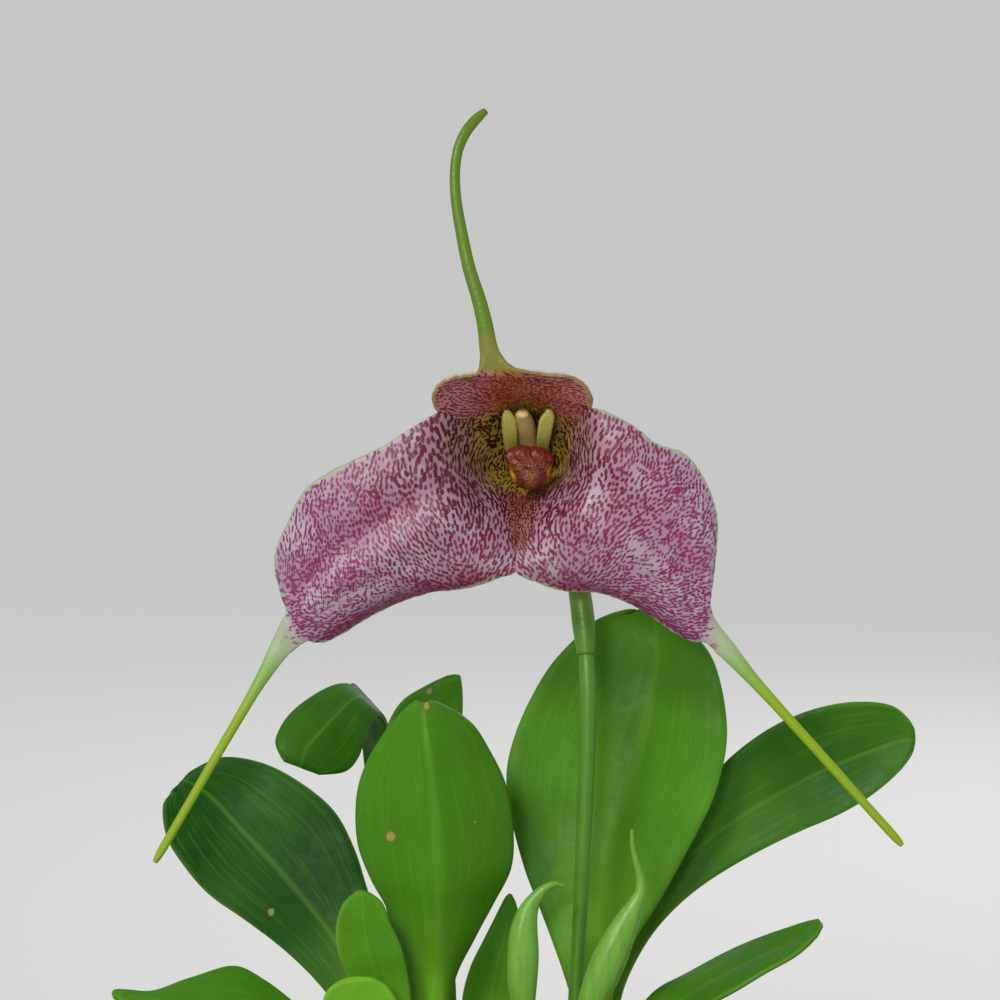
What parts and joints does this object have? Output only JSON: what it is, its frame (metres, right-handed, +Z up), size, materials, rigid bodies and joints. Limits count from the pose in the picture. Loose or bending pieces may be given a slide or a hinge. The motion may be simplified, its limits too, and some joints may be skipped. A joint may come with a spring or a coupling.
{
  "type": "masdevallia orchid in a pot",
  "caption": "Small masdevallia orchid in a clay pot: a spotted flower with long green tails above broad leathery leaves, with buds at the base.",
  "frame": {"origin": "centre of the pot's flat underside", "axes": "+Z up out of the pot, -Y the way the flower faces, +X to the right of someone who looks into the flower"},
  "size_m": [0.0791, 0.06, 0.1448],
  "materials": {
    "terracotta": "matte fired clay",
    "bark_mix": "damp bark chips",
    "rhizome": "fibrous",
    "leaf": "satin",
    "stem": "satin",
    "bract": "dry and papery",
    "ovary": "satin",
    "sepal": "soft, finely glistening",
    "petal": "waxy",
    "lip": "warty",
    "column": "waxy",
    "bud": "satin"
  },
  "bodies": {
    "root": {"pot": "terracotta", "growing_mix": "bark_mix", "rhizome": "rhizome", "leaf_1": "leaf", "leaf_2": "leaf", "leaf_3": "leaf", "leaf_4": "leaf", "leaf_5": "leaf", "leaf_6": "leaf", "leaf_7": "leaf", "leaf_8": "leaf", "leaf_9": "leaf", "leaf_10": "leaf", "leaf_11": "leaf", "flower_stem": "stem", "floral_bract": "bract", "ovary": "ovary", "sepals": "sepal", "petal_left": "petal", "petal_right": "petal", "lip": "lip", "column": "column", "anther_cap": "column", "flower_bud_1": "bud", "flower_bud_2": "bud"}
  },
  "joints": []
}
